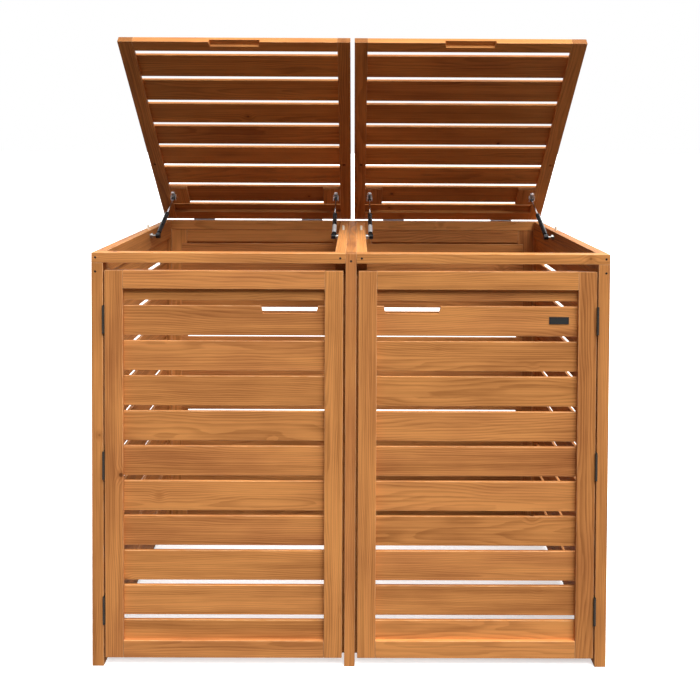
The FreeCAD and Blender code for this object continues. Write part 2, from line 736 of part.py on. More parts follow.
for side_name, side in SIDES.items():
    label = f"lid_{side_name}"
    thickness = (LID_UNDER, LID_FRAME_TOP)
    slat_rabbet = (LID_SLAT_UNDER, LID_FRAME_TOP)
    clear_x = across(side, LID_INNER_CLEAR, LID_OUTER_CLEAR)
    groove = board(
        f"{label}_groove", across(side, f"{LID_INNER_CLEAR} - slat_lap", f"{LID_OUTER_CLEAR} + slat_lap"),
        setback("lid_rear_rail_width - slat_lap", "lid_length - lid_front_rail_width"), slat_rabbet,
    )
    whole_length = setback(GROUND, "lid_length")
    stiles = []
    sockets = {}
    for edge, x, pin_x in (
        ("inner", across(side, LID_INNER, LID_INNER_CLEAR), at_side(side, "inner_pin_place")),
        ("outer", across(side, LID_OUTER_CLEAR, OUTSIDE), at_side(side, OUTER_PIN)),
    ):
        blank = board(f"{label}_{edge}_stile_blank", x, whole_length, thickness)
        sockets[edge] = pin_socket(f"{label}_{edge}_socket", pin_x)
        stiles.append(cut(f"{label}_{edge}_stile", blank, groove, sockets[edge]))
    lid_node(f"{label}_stiles", stiles)
    front_rail = board(
        f"{label}_front_rail_blank", clear_x,
        setback("lid_length - lid_front_rail_width", "lid_length"), thickness,
    )
    rear_rail = board(f"{label}_rear_rail_blank", clear_x, setback(GROUND, "lid_rear_rail_width"), thickness)
    lid_node(f"{label}_rails", [
        cut(f"{label}_front_rail", front_rail, lid_notch(f"{label}_notch", side)),
        cut(f"{label}_rear_rail", rear_rail, groove),
    ])
    lid_node(f"{label}_slats", lid_slats(label, side, sockets["inner"]))
    block_y = setback("first_lid_slat", "first_lid_slat + lid_slat_width")
    block_z = (LID_UNDER, LID_SLAT_UNDER)
    inner_x = across(side, LID_INNER_CLEAR, f"{LID_INNER_CLEAR} + strut_block_width")
    outer_x = across(side, f"{LID_OUTER_CLEAR} - strut_block_width", LID_OUTER_CLEAR)
    lid_node(f"{label}_strut_blocks", [
        board(f"{label}_inner_block", inner_x, block_y, block_z),
        board(f"{label}_outer_block", outer_x, block_y, block_z),
    ])


# ---- lid hinges ----------------------------------------------------------------------------

LEAF_START = "knuckle_radius + 2 * knuckle_gap"


def lid_leaf(name, low, own, up):
    """The leaf of a lid hinge, drawn about the axis: on the lid (up = 1) or on the rear rail."""
    share = f"(lid_hinge_width / {KNUCKLES})"
    plate_y = (LID_REAR, f"{LID_REAR} + leaf_thickness")

    def upright(near, far):
        return (near, far) if up > 0 else (f"-({far})", f"-({near})")

    solids = [board(f"{name}_plate", (low, f"{low} + lid_hinge_width"), plate_y,
                    upright(LEAF_START, f"{LEAF_START} + lid_leaf_height"))]
    holes = []
    for number in own:
        start = f"{low} + {number} * {share} + knuckle_gap / 2"
        length = f"{share} - knuckle_gap"
        barrel, hole = knuckle(f"{name}_{number}", "x", (start, GROUND, GROUND), length)
        run = (start, f"{start} + {length}")
        neck = board(f"{name}_{number}_neck", run, plate_y, upright(GROUND, LEAF_START))
        solids += [barrel, neck]
        holes.append(hole)
    return cut(name, joined(f"{name}_whole", solids), *holes)


frame_leaves = []
for side_name, side in SIDES.items():
    leaves = []
    for place, (inner, outer) in {
        "inner": (f"{LID_INNER} + lid_hinge_inset", f"{LID_INNER} + lid_hinge_inset + lid_hinge_width"),
        "outer": (f"{OUTSIDE} - lid_hinge_inset - lid_hinge_width", f"{OUTSIDE} - lid_hinge_inset"),
    }.items():
        name = f"lid_hinge_{side_name}_{place}"
        low = across(side, inner, outer)[0]
        frame_leaves.append(lid_leaf(f"{name}_frame_leaf", low, (0, 2), -1))
        frame_leaves.append(hinge_pin(f"{name}_pin", "x", (low, GROUND, GROUND), "lid_hinge_width"))
        leaves.append(lid_leaf(f"{name}_lid_leaf", low, (1,), 1))
    lid_node(f"lid_{side_name}_hinge_leaves", leaves)
frame_hinges = node("rear_rail_hinge_leaves", frame_leaves)
bind(frame_hinges, Placement__Base__y=LID_AXIS_Y, Placement__Base__z=LID_AXIS_Z)


# ---- strut brackets under the lids ---------------------------------------------------------

STRUT_TOP_Y = f"{LID_REAR} - strut_top_setback"
STRUT_TOP_Z = f"{LID_UNDER} - strut_top_drop"
SLOT_HALF = "(strut_pin_radius + slot_play)"


def strut_bracket(name, x):
    """A U bracket on its block. Its slots open towards the hinge, and an eye holds its screw."""
    half = "bracket_width / 2"
    low, high = f"{x} - {half}", f"{x} + {half}"
    web_top, web_under = LID_UNDER, f"{LID_UNDER} - bracket_plate"
    run = (f"{STRUT_TOP_Y} - cheek_front", f"{STRUT_TOP_Y} + cheek_rear")
    lip = f"{STRUT_TOP_Z} - cheek_lip"
    eye = (x, f"{STRUT_TOP_Y} - bracket_eye_reach", web_under)
    solids = [
        board(f"{name}_web", (low, high), run, (web_under, web_top)),
        board(f"{name}_cheek_low", (low, f"{low} + bracket_plate"), run, (lip, web_top)),
        board(f"{name}_cheek_high", (f"{high} - bracket_plate", high), run, (lip, web_top)),
        board(
            f"{name}_neck", (f"{x} - bracket_neck_width / 2", f"{x} + bracket_neck_width / 2"),
            (eye[1], STRUT_TOP_Y), (web_under, web_top),
        ),
        cylinder(f"{name}_eye", "z", "bracket_eye_radius", "bracket_plate", eye),
        cylinder(
            f"{name}_screw", "z", "bracket_screw_radius", "bracket_screw_height",
            (eye[0], eye[1], f"{web_under} - bracket_screw_height"),
        ),
    ]
    beyond = "bracket_plate"
    seat = cylinder(
        f"{name}_seat", "x", SLOT_HALF, f"bracket_width + 2 * {beyond}",
        (f"{low} - {beyond}", STRUT_TOP_Y, STRUT_TOP_Z),
    )
    mouth_half = f"({SLOT_HALF} + slot_flare)"
    slot = taper(
        f"{name}_slot",
        (STRUT_TOP_Y, f"{low} - {beyond}", f"{high} + {beyond}"),
        (f"{run[1]} + {beyond}", f"{low} - {beyond}", f"{high} + {beyond}"),
        f"{STRUT_TOP_Z} - {SLOT_HALF}", f"{STRUT_TOP_Z} - {mouth_half}",
        (f"2 * {SLOT_HALF}", f"2 * {mouth_half}"),
    )
    return cut(name, joined(f"{name}_whole", solids), seat, slot)


for side_name, side in SIDES.items():
    brackets = [
        strut_bracket(f"bracket_{name}", x)
        for name, strut_side, x, wood_x, towards in STRUTS if strut_side == side
    ]
    lid_node(f"lid_{side_name}_strut_brackets", brackets)


# ---- gas struts, drawn along Y from their lower ball and then raised to the open lid --------

OPEN_Y = f"({LID_AXIS_Y} + ({STRUT_TOP_Y}) * cos(lid_open_angle) + ({STRUT_TOP_Z}) * sin(lid_open_angle))"
OPEN_Z = f"({LID_AXIS_Z} - ({STRUT_TOP_Y}) * sin(lid_open_angle) + ({STRUT_TOP_Z}) * cos(lid_open_angle))"
STRUT_RUN = f"({OPEN_Y} - strut_low_place)"
STRUT_RISE = f"({OPEN_Z} - ({STRUT_LOW_HEIGHT}))"
STRUT_LENGTH = f"sqrt({STRUT_RUN} * {STRUT_RUN} + {STRUT_RISE} * {STRUT_RISE})"
STRUT_ANGLE = f"atan2({STRUT_RISE}; {STRUT_RUN})"


def strut_node(label, pieces, x):
    """A sub-part of a strut, set on its lower ball and turned towards the open lid's bracket."""
    part = node(label, pieces)
    part.Placement = FreeCAD.Placement(FreeCAD.Vector(), FreeCAD.Rotation(FreeCAD.Vector(1, 0, 0), 1))
    bind(part, Placement__Base__x=x, Placement__Base__y="strut_low_place")
    bind(part, Placement__Base__z=STRUT_LOW_HEIGHT, Placement__Rotation__Angle=STRUT_ANGLE)


def strut_tube(name, towards):
    """The cylinder with its ball socket, whose mouth faces the wood."""
    def sideways(near, far):
        low = near if towards > 0 else f"-({far})"
        return low, f"({far}) - ({near})"
    socket_low, socket_width = sideways("-socket_radius", "socket_open_side")
    mouth_low, mouth_width = sideways(GROUND, "socket_radius")
    bore_end = "strut_tube_length - strut_gland_length"
    solids = [
        cylinder(f"{name}_socket", "x", "socket_radius", socket_width, (socket_low, GROUND, GROUND)),
        cylinder(f"{name}_shank", "y", "socket_shank_radius", "strut_bore_start", (GROUND, GROUND, GROUND)),
        cylinder(
            f"{name}_case", "y", "strut_tube_radius",
            "strut_tube_length - strut_bore_start + socket_shank_radius",
            (GROUND, "strut_bore_start - socket_shank_radius", GROUND),
        ),
    ]
    hollows = [
        ball(f"{name}_cavity", "ball_radius + ball_play", (GROUND, GROUND, GROUND)),
        cylinder(f"{name}_mouth", "x", "socket_mouth_radius", mouth_width, (mouth_low, GROUND, GROUND)),
        cylinder(
            f"{name}_bore", "y", "strut_bore_radius", f"{bore_end} - strut_bore_start",
            (GROUND, "strut_bore_start", GROUND),
        ),
        cylinder(
            f"{name}_gland", "y", "strut_rod_radius + strut_rod_play", "2 * strut_gland_length",
            (GROUND, bore_end, GROUND),
        ),
    ]
    return cut(name, joined(f"{name}_whole", solids), *hollows)


def strut_rod(name):
    """The piston rod, its rod end and the pin that sits in the bracket's slots."""
    rod_start = f"{STRUT_LENGTH} - strut_rod_length"
    rod = joined(f"{name}_rod", [
        cylinder(
            f"{name}_bar", "y", "strut_rod_radius", "strut_rod_length - rod_end_grip",
            (GROUND, rod_start, GROUND),
        ),
        cylinder(f"{name}_piston", "y", "piston_radius", "piston_length", (GROUND, rod_start, GROUND)),
    ])
    eye = joined(f"{name}_eye", [
        cylinder(
            f"{name}_eye_disc", "x", "rod_end_radius", "rod_end_width",
            ("-rod_end_width / 2", STRUT_LENGTH, GROUND),
        ),
        cylinder(
            f"{name}_eye_shank", "y", "rod_end_shank_radius", "rod_end_shank_length",
            (GROUND, f"{STRUT_LENGTH} - rod_end_shank_length", GROUND),
        ),
    ])
    pin_start = ("-strut_pin_length / 2", STRUT_LENGTH, GROUND)
    pin = cylinder(f"{name}_pin", "x", "strut_pin_radius", "strut_pin_length", pin_start)
    return [rod, cut(f"{name}_rod_end", eye, rod, pin), pin]


for name, side, x, wood_x, towards in STRUTS:
    strut_node(f"strut_tube_{name}", [strut_tube(f"tube_{name}", towards)], x)
    strut_node(f"strut_rod_{name}", strut_rod(f"rod_{name}"), x)


# ---- checks and export ---------------------------------------------------------------------

doc.recompute()
for item in doc.Objects:
    failed = [state for state in item.State if state in ("Invalid", "Error")]
    if failed:
        raise RuntimeError(f"{item.Name} is {failed}")
for part in nodes:
    if part.Shape.isNull() or not part.Shape.isValid():
        raise RuntimeError(f"{part.Label} has no valid shape")
    if min(solid.Volume for solid in part.Shape.Solids) <= 0:
        raise RuntimeError(f"{part.Label} has a solid that is inside out")

os.makedirs("parts", exist_ok=True)
for part in nodes:
    part.Shape.exportStep(f"parts/{part.Label}.step")
print(len(nodes), "sub-parts,", sum(len(part.Shape.Solids) for part in nodes), "solids")
print("open strut", round(value(STRUT_LENGTH), 3), "mm at", round(value(STRUT_ANGLE), 3), "degrees")
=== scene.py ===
"""Looks for the slatted timber store: stained boards with real grain, struts and hinges."""

import json
import math
import random

import bmesh
import bpy
from mathutils import Matrix, Vector

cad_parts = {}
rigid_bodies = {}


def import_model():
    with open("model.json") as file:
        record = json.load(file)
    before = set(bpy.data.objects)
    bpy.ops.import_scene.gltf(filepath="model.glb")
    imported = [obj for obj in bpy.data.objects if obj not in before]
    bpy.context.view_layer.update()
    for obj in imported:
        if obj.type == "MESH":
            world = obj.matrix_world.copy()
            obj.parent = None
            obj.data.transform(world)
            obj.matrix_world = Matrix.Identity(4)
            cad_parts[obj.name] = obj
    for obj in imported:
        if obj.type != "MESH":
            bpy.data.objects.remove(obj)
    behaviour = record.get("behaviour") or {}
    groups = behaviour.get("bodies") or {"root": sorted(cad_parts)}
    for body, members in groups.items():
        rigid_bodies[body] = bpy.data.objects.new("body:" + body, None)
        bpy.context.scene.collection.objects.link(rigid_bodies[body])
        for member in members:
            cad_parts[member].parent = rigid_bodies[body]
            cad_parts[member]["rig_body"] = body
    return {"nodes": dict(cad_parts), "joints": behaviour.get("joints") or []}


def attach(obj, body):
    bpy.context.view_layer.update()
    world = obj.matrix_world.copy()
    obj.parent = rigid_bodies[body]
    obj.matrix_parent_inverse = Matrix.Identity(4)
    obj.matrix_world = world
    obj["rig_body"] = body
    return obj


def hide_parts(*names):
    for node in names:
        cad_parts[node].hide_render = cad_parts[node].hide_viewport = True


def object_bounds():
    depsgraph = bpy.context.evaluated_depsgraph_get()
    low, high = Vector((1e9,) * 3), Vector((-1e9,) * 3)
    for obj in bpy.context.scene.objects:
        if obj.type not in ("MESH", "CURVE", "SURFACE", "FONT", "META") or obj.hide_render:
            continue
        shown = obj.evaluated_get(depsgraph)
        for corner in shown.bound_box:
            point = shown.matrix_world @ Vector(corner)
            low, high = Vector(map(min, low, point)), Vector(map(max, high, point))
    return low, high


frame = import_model()
CAD_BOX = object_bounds()

SEED = 195177
MM = 0.001
WHITE = (1, 1, 1, 1)

# Boards
WOOD_SLOT = "stained_wood"
EDGE_RADIUS = 1.1 * MM
EDGE_STEPS = 2
EDGE_PROFILE = 0.5
SHORTEST_ROUNDED_EDGE = 6.5 * MM
SHARP_ANGLE = math.radians(30)
FLAT_ANGLE = math.radians(0.5)
MERGE_STEP = 1e-6

# The log that each board is sawn from
LOG_LENGTH = 20.0
PITH_NEAREST = 25 * MM
PITH_FURTHEST = 140 * MM
RING_WIDTH = 4.6 * MM
RING_WANDER = (0.0, 0.05, 0.05)
RING_RIPPLE = (0.0, 0.004, 0.004)
RING_KNOT_PUSH = 1.3
LATE_WOOD_RISE = (0.25, 0.86)
LATE_WOOD_FALL = (0.90, 1.0)

# Knots: each may lie in one cell of the log. CELLS is cells to a metre, RARITY the share of them
# that stay empty, and the others are where each part of a knot starts to fade and where it ends,
# in cells.
KNOT_CELLS = 7.5
KNOT_RARITY = 0.6
KNOT_MIDDLE = (0.028, 0.058)
KNOT_HALO = (0.04, 0.16)
KNOT_BEND = (0.0, 0.26)

# Patterns in the wood: how fast each one changes along the log and across it, its detail and its
# roughness. NOISE_MIDDLE is the colour that noise swings about.
NOISE_MIDDLE = (0.5, 0.5, 0.5)
SLOW_BENDS = ((1.4, 8.0, 8.0), 2.0, 0.5)
QUICK_BENDS = ((9.0, 60.0, 60.0), 2.0, 0.5)
STREAKS = ((2.6, 170.0, 170.0), 4.0, 0.6)
FIBRES = ((16.0, 1300.0, 1300.0), 3.0, 0.6)
BANDS = ((1.3, 34.0, 34.0), 3.0, 0.5)
PATCHES = ((4.0, 14.0, 14.0), 3.0, 0.5)
# The next pattern spreads the lighter edge colour, which is partly wear and partly a painted
# highlight on the edges
EDGE_WEAR_AND_HIGHLIGHT = ((30.0, 120.0, 120.0), 3.0, 0.5)

# How far each pattern lightens the stain at its low end and darkens it at its high end
PATTERN_SPAN = (0.30, 0.70)
LATE_WOOD_DEPTH = 0.26
STREAK_DEPTH = (-0.05, 0.32)
FIBRE_DEPTH = (-0.05, 0.07)
BAND_DEPTH = (-0.16, 0.18)
PATCH_DEPTH = (-0.14, 0.18)
TONE_DEPTH = (-0.14, 0.24)

# Colours of the wood, as screen values of 0 to 255
STAIN_LIGHT = (222, 152, 86)
STAIN_DARK = (132, 77, 36)
HALO_BROWN = (142, 76, 34)
KNOT_BROWN = (78, 38, 16)
# The lighter edge colour is partly real wear and partly a painted highlight where edges catch light
# from above
WORN_EDGE_AND_HIGHLIGHT = (236, 190, 142)
END_GRAIN = (104, 58, 26)

# How much of each colour shows. SPAN is the part of a pattern that counts, REACH is a distance
# from the edge or the end, and PINK_SHIFT is a factor for each channel.
PINK_SHIFT = (0.96, 0.88, 1.02, 1.0)
PINK_SHUFFLE = 7.3
PINK_SPAN = (0.35, 0.65)
PINK_SHARE = (0.25, 0.75)
HALO_SHARE = 0.35
KNOT_SHARE = 0.8
# The lighter edge band below is partly wear and partly a painted highlight
WORN_AND_HIGHLIGHT_REACH = (0.2 * MM, 2.0 * MM)
WORN_AND_HIGHLIGHT_SPAN = (0.36, 0.62)
WORN_AND_HIGHLIGHT_SHARE = (0.08, 0.55)
END_REACH = (0.3 * MM, 0.9 * MM)
END_SHARE = 0.5

# The skin of the wood. Each BUMP is a strength and a distance.
WOOD_SPECULAR = 0.1
WOOD_GLOSS_SPAN = (0.3, 1.6)
WOOD_ROUGHNESS = (0.68, 0.54)
RING_RELIEF = 0.35
STREAK_RELIEF = 0.9
KNOT_RELIEF = 0.4
WOOD_BUMP = (0.45, 0.3 * MM)

# Metal: stains follow clouds, and scratches run along one axis
METAL_CLOUDS = (60.0, 5.0, 0.6)
METAL_SCRATCHES = ((2200.0, 180.0, 900.0), 2.0, 0.5)
METAL_GLOSS_SPAN = (0.6, 1.4)
SCRATCH_RELIEF = 0.5
METAL_BUMP = (0.25, 0.12 * MM)
METAL_DIRT = (60, 56, 52)
DIRT_SPAN = (0.50, 0.78)
DIRT_SHARE = 0.35

# Each metal: its colour, and its lowest and highest roughness
HINGE_STEEL = ((44, 39, 34), (0.45, 0.65))
HINGE_STEEL_METALLIC = 0.8
HINGE_ZINC = ((140, 142, 146), (0.36, 0.54))
STUD_STEEL = ((158, 156, 152), (0.24, 0.40))
ROD_STEEL = ((206, 208, 212), (0.10, 0.26))
ROD_DIRT_SHARE = 0.15
ROD_END_BLACK = (24, 24, 26)
ZINC_ROUGHNESS = (0.30, 0.46)
ZINC_LIGHT = (240, 241, 244)
ZINC_DARK = (204, 206, 212)
ZINC_CRYSTALS = 320.0
ZINC_CRYSTAL_SHARE = 0.5

# Paint and plastic: a fine skin, and spots that are rubbed lighter
MOULDED_CLOUDS = (45.0, 4.0, 0.6)
MOULDED_SKIN = (900.0, 2.0)
MOULDED_GLOSS_SPAN = (0.3, 0.7)
MOULDED_SPECULAR = 0.2
MOULDED_BUMP = (0.2, 0.08 * MM)
RUBBED_SPAN = (0.52, 0.80)
RUBBED_SHARE = 0.5

# Each paint or plastic: its colour, its rubbed colour, and its lowest and highest roughness
PLATE_BLACK = ((18, 17, 17), (38, 36, 35), (0.30, 0.46))
PLASTIC_BLACK = ((26, 26, 27), (44, 44, 45), (0.42, 0.58))
PLASTIC_CREAM = ((238, 231, 214), (220, 207, 182), (0.28, 0.44))
TUBE_BLACK = ((20, 20, 22), (46, 45, 46), (0.22, 0.38))

# Fittings that differ from the rest of their slot, and the struts
STUDS = "strut_ball_studs"
LID_HINGES = ("lid_left_hinge_leaves", "lid_right_hinge_leaves", "rear_rail_hinge_leaves")
LID_JOINT = "lid_left_hinge"
STRUT_JOINT = "strut_left_inner_stroke"
STRUT_BAND = (30 * MM, 78 * MM)
BAND_CLOUDS = (120.0, 4.0)
BAND_GREYS = ((176, 178, 180), (206, 207, 208))
ROD_END_LENGTH = 20 * MM

# Floor and world: what looks at them sees white, and the object gets little light from them
FLOOR_REACH = 60.0
FLOOR_GRAIN = (220.0, 3.0)
FLOOR_GREYS = ((238, 238, 238), (244, 244, 244))
FLOOR_GLOW = 0.5
FLOOR_BOUNCE = (0.06, 0.042, 0.028, 1.0)
FLOOR_ROUGHNESS = 0.9
FLOOR_SPECULAR = 0.1
FLOOR_BUMP = (0.05, 0.1 * MM)
WORLD_LEVEL = 0.1

# Each light: its level, its height, and how far to the right of the front it stands
SUN_SOFTNESS = math.radians(60)
SUNS = {
    "key": (1.93 * math.pi, math.radians(62), math.radians(36)),
    "rear_fill": (0.5 * math.pi, math.radians(30), math.radians(172)),
}

CAMERA_PLACE = (0.01483, -2.6409, 1.49293)
CAMERA_YAW = math.radians(-0.183)
CAMERA_TILT = math.radians(88.633)
CAMERA_ROLL = math.radians(0.26)
CAMERA_LENS = 41.163
CAMERA_SHIFT = (-0.0135, -0.28069)


def joint(name):
    """The record's joint of that name."""
    return next(entry for entry in frame["joints"] if entry["name"] == name)


# ---------------------------------------------------------------------------------------------
# Boards: each wooden solid of a CAD node is copied, gets rounded edges and its own grain


def merge_key(place):
    """The same key for all corners that lie at one place."""
    return tuple(round(c / MERGE_STEP) for c in place)


def solids(mesh):
    """The mesh's polygons, each as the places of its corners, in one list for each solid."""
    seen = {}
    corner = [seen.setdefault(merge_key(v.co), len(seen)) for v in mesh.vertices]
    leader = list(range(len(mesh.polygons)))

    def find(index):
        while leader[index] != index:
            leader[index] = leader[leader[index]]
            index = leader[index]
        return index

    edges = {}
    for polygon in mesh.polygons:
        ring = [corner[i] for i in polygon.vertices]
        for pair in zip(ring, ring[1:] + ring[:1]):
            edges.setdefault(frozenset(pair), []).append(polygon.index)
    for faces in edges.values():
        for first, second in zip(faces[::2], faces[1::2]):
            leader[find(first)] = find(second)
    groups = {}
    for polygon in mesh.polygons:
        places = [mesh.vertices[i].co for i in polygon.vertices]
        groups.setdefault(find(polygon.index), []).append(places)
    return list(groups.values())


def merged(faces):
    """A bmesh of one solid, with one face for each of its flat parts."""
    made = bmesh.new()
    corners = {}
    for face in faces:
        ring = []
        for place in face:
            key = merge_key(place)
            if key not in corners:
                corners[key] = made.verts.new(place)
            ring.append(corners[key])
        if len(set(ring)) == len(ring):
            made.faces.new(ring)
    bmesh.ops.recalc_face_normals(made, faces=made.faces)
    bmesh.ops.dissolve_limit(made, angle_limit=FLAT_ANGLE, verts=made.verts, edges=made.edges)
    return made


def rounded(faces):
    """A bmesh of one solid, with its long outer edges rounded."""
    made = merged(faces)
    sharp = [e for e in made.edges if e.is_manifold and e.calc_face_angle() > SHARP_ANGLE]
    result = bmesh.ops.bevel(
        made,
        geom=[e for e in sharp if e.calc_length() > SHORTEST_ROUNDED_EDGE],
        offset=EDGE_RADIUS,
        segments=EDGE_STEPS,
        profile=EDGE_PROFILE,
        affect="EDGES",
        clamp_overlap=True,
    )
    for face in result["faces"]:
        face.smooth = True
    return made


def board_frame(made, flat):
    """(centre, half sizes, axes from the longest to the shortest) of a board."""
    places = [flat @ v.co for v in made.verts]
    low = Vector([min(p[a] for p in places) for a in range(3)])
    high = Vector([max(p[a] for p in places) for a in range(3)])
    half = (high - low) / 2
    order = sorted(range(3), key=lambda a: -half[a])
    return (high + low) / 2, half, order


def add_grain(mesh, flat, board, dice):
    """Writes where each point lies in its board and in the log that the board was sawn from."""
    centre, half, order = board
    angle = dice.uniform(0, math.tau)
    distance = dice.uniform(PITH_NEAREST, PITH_FURTHEST)
    pith = (dice.uniform(0, LOG_LENGTH), distance * math.cos(angle), distance * math.sin(angle))
    tone = dice.random()
    local = [flat @ v.co - centre for v in mesh.vertices]
    ordered = [[place[a] for a in order] for place in local]
    log = [[c + shift for c, shift in zip(place, pith)] for place in ordered]
    sizes = [[half[a] for a in order]] * len(ordered)
    for name, places in (("board_place", ordered), ("board_half", sizes), ("log_place", log)):
        layer = mesh.attributes.new(name, "FLOAT_VECTOR", "POINT")
        layer.data.foreach_set("vector", [c for place in places for c in place])
    layer = mesh.attributes.new("board_tone", "FLOAT", "POINT")
    layer.data.foreach_set("value", [tone] * len(ordered))


def board_object(name, faces, flat, dice):
    """One rounded, grained board as an object of its own."""
    made = rounded(faces)
    board = board_frame(made, flat)
    mesh = bpy.data.meshes.new(name)
    made.to_mesh(mesh)
    made.free()
    add_grain(mesh, flat, board, dice)
    part = bpy.data.objects.new(name, mesh)
    bpy.context.scene.collection.objects.link(part)
    return part


def joined(parts, name):
    """One object from several."""
    if len(parts) > 1:
        with bpy.context.temp_override(active_object=parts[0], selected_editable_objects=parts):
            bpy.ops.object.join()
    parts[0].name = name
    parts[0].data.name = name
    return parts[0]


def levelled(body):
    """The turn that lays a body's boards square to the axes: the lids stand open at rest."""
    if not body.startswith("lid_"):
        return Matrix.Identity(3)
    return Matrix.Rotation(math.radians(max(joint(LID_JOINT)["range_deg"])), 3, "X")


def dress_boards(name, node, material):
    """Stands one object of rounded, grained boards in for a wooden CAD node."""
    body = node["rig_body"]
    flat = levelled(body)
    dice = random.Random(f"{SEED} {name}")
    parts = []
    for number, faces in enumerate(solids(node.data)):
        parts.append(board_object(f"{name}_board_{number}", faces, flat, dice))
    piece = joined(parts, f"{name}_boards")
    piece.data.materials.append(material)
    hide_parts(name)
    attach(piece, body)


# ---------------------------------------------------------------------------------------------
# Node trees


class Nodes:
    """A node tree in the making: each method adds one node and gives back what it puts out."""

    def __init__(self, tree):
        self.tree = tree

    def put(self, socket, value):
        """Links an output to the socket, or sets the socket to a constant."""
        if isinstance(value, bpy.types.NodeSocket):
            self.tree.links.new(value, socket)
        else:
            socket.default_value = value

    def node(self, kind, inputs, **settings):
        """A new node. Its inputs are named or numbered."""
        made = self.tree.nodes.new(f"ShaderNode{kind}")
        for name, value in settings.items():
            setattr(made, name, value)
        for name, value in inputs.items():
            self.put(made.inputs[name], value)
        return made

    def math(self, operation, *values):
        return self.node("Math", dict(enumerate(values)), operation=operation).outputs[0]

    def vector(self, operation, *values):
        return self.node("VectorMath", dict(enumerate(values)), operation=operation).outputs[0]

    def length(self, value):
        return self.node("VectorMath", {0: value}, operation="LENGTH").outputs["Value"]

    def dot(self, first, second):
        inputs = {0: first, 1: second}
        return self.node("VectorMath", inputs, operation="DOT_PRODUCT").outputs["Value"]

    def attribute(self, name):
        return self.node("Attribute", {}, attribute_name=name).outputs

    def object_place(self):
        return self.node("TexCoord", {}).outputs["Object"]

    def split(self, value):
        return self.node("SeparateXYZ", {0: value}).outputs

    def merge(self, x, y, z):
        return self.node("CombineXYZ", {0: x, 1: y, 2: z}).outputs[0]

    def noise(self, place, scale, detail=3.0, rough=0.5):
        inputs = {"Vector": place, "Scale": scale, "Detail": detail, "Roughness": rough}
        return self.node("TexNoise", inputs).outputs

    def pattern(self, place, stretch, detail, rough):
        """Noise that changes at a pace of its own along each axis."""
        return self.noise(self.vector("MULTIPLY", place, stretch), 1.0, detail, rough)

    def cells(self, place, scale):
        return self.node("TexVoronoi", {"Vector": place, "Scale": scale}).outputs

    def remap(self, value, low, high, out_low, out_high, smooth=False):
        """The value, moved from the span low to high into the span out_low to out_high."""
        inputs = {0: value, 1: low, 2: high, 3: out_low, 4: out_high}
        kind = "SMOOTHSTEP" if smooth else "LINEAR"
        return self.node("MapRange", inputs, interpolation_type=kind).outputs[0]

    def mix(self, factor, first, second, blend="MIX"):
        """A blend of two colours. The Mix node takes colours in inputs 6 and 7, and output 2."""
        inputs = {0: factor, 6: first, 7: second}
        return self.node("Mix", inputs, data_type="RGBA", blend_type=blend).outputs[2]

    def looked_at(self):
        """1 for what is seen straight, in a gloss or through a clear thing, and 0 for the rest."""
        path = self.node("LightPath", {}).outputs
        seen = self.math("MAXIMUM", path["Is Camera Ray"], path["Is Glossy Ray"])
        return self.math("MAXIMUM", seen, path["Is Transmission Ray"])


class Look(Nodes):
    """A material in the making."""

    def __init__(self, name):
        self.material = bpy.data.materials.new(name)
        self.material.use_nodes = True
        super().__init__(self.material.node_tree)
        self.shader = self.tree.nodes["Principled BSDF"]

    def set(self, **inputs):
        """Sets the shader's inputs, whose names are written with _ for each space."""
        for name, value in inputs.items():
            self.put(self.shader.inputs[name.replace("_", " ")], value)

    def bump(self, height, strength, distance):
        inputs = {"Height": height, "Strength": strength, "Distance": distance}
        self.set(Normal=self.node("Bump", inputs).outputs[0])


def colour(red, green, blue):
    """A linear colour from screen values of 0 to 255, by the sRGB curve."""
    def linear(value):
        share = value / 255
        return share / 12.92 if share <= 0.04045 else ((share + 0.055) / 1.055) ** 2.4
    return (linear(red), linear(green), linear(blue), 1.0)


# ---------------------------------------------------------------------------------------------
# Wood


def knots(look, log):
    """Where knots lie: (their dark middles, the wood that they stain, how far rings bend)."""
    found = look.cells(log, KNOT_CELLS)
    kept = look.math("GREATER_THAN", look.split(found["Color"])[0], KNOT_RARITY)
    shares = []
    for near, far in (KNOT_MIDDLE, KNOT_HALO, KNOT_BEND):
        share = look.remap(found["Distance"], near, far, 1.0, 0.0, True)
        shares.append(look.math("MULTIPLY", share, kept))
    return shares


def rings(look, log, push):
    """The dark late wood of the year rings, which lie about the pith and wander along the log."""
    bent = log
    for pattern, reach in ((SLOW_BENDS, RING_WANDER), (QUICK_BENDS, RING_RIPPLE)):
        swing = look.vector("SUBTRACT", look.pattern(log, *pattern)["Color"], NOISE_MIDDLE)
        bent = look.vector("ADD", bent, look.vector("MULTIPLY", swing, reach))
    _, across, up = look.split(bent)
    radius = look.length(look.merge(0.0, across, up))
    pushed = look.math("MULTIPLY", push, RING_KNOT_PUSH)
    ring = look.math("FRACT", look.math("ADD", look.math("DIVIDE", radius, RING_WIDTH), pushed))
    rise = look.remap(ring, *LATE_WOOD_RISE, 0.0, 1.0, True)
    return look.math("MULTIPLY", rise, look.remap(ring, *LATE_WOOD_FALL, 1.0, 0.0, True))


